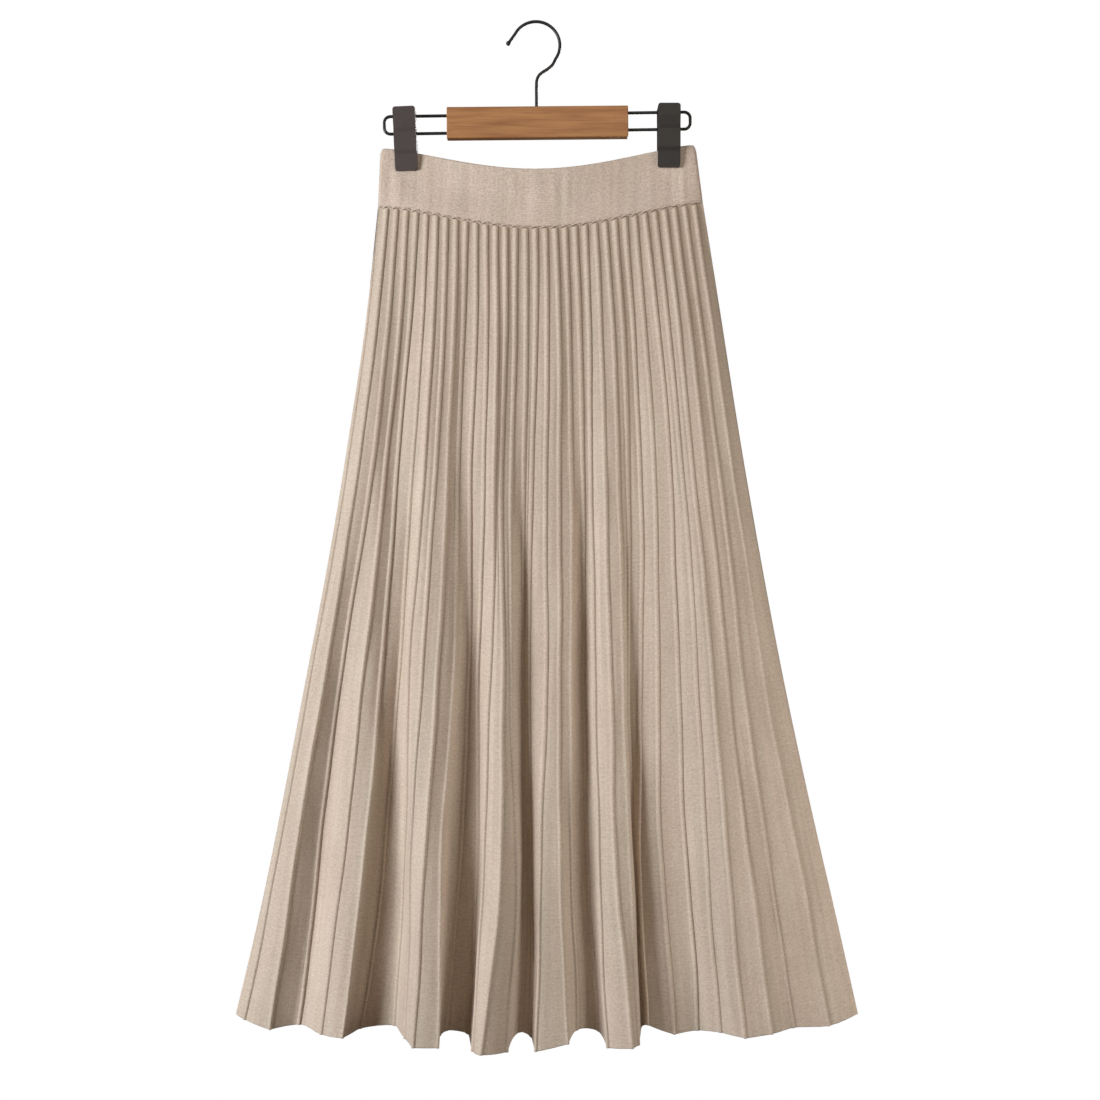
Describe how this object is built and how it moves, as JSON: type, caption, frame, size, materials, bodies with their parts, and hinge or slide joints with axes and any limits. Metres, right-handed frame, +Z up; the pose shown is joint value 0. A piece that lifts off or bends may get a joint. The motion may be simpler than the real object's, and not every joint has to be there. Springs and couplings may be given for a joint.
{
  "type": "pleated maxi skirt on a clip hanger",
  "caption": "Long flared knit skirt with fine raised pleat ribs and a plain band, hung flat from a wood and wire hanger by two clips.",
  "frame": {"origin": "underside of the hook's crown, where a rail carries the hanger", "axes": "+Z up, +X to the right as seen from the front, the front of the skirt faces -Y"},
  "size_m": [0.622, 0.1577, 1.0146],
  "materials": {
    "band_knit": "fine plain knit, matt, beige",
    "rib_knit": "fine knit with raised ribs, matt with a faint sheen, beige",
    "wood": "warm brown, straight grain, satin",
    "wire": "black, satin",
    "clip_brown": "dark brown, satin",
    "clip_grey": "dark grey, satin"
  },
  "bodies": {
    "root": {"waistband": "band_knit", "skirt_front": "rib_knit", "skirt_back": "rib_knit", "wood_bar": "wood", "hook": "wire", "wire_loop_left": "wire", "wire_loop_right": "wire", "clip_left_front": "clip_brown", "clip_left_back": "clip_brown", "clip_right_front": "clip_grey", "clip_right_back": "clip_grey"}
  },
  "joints": []
}
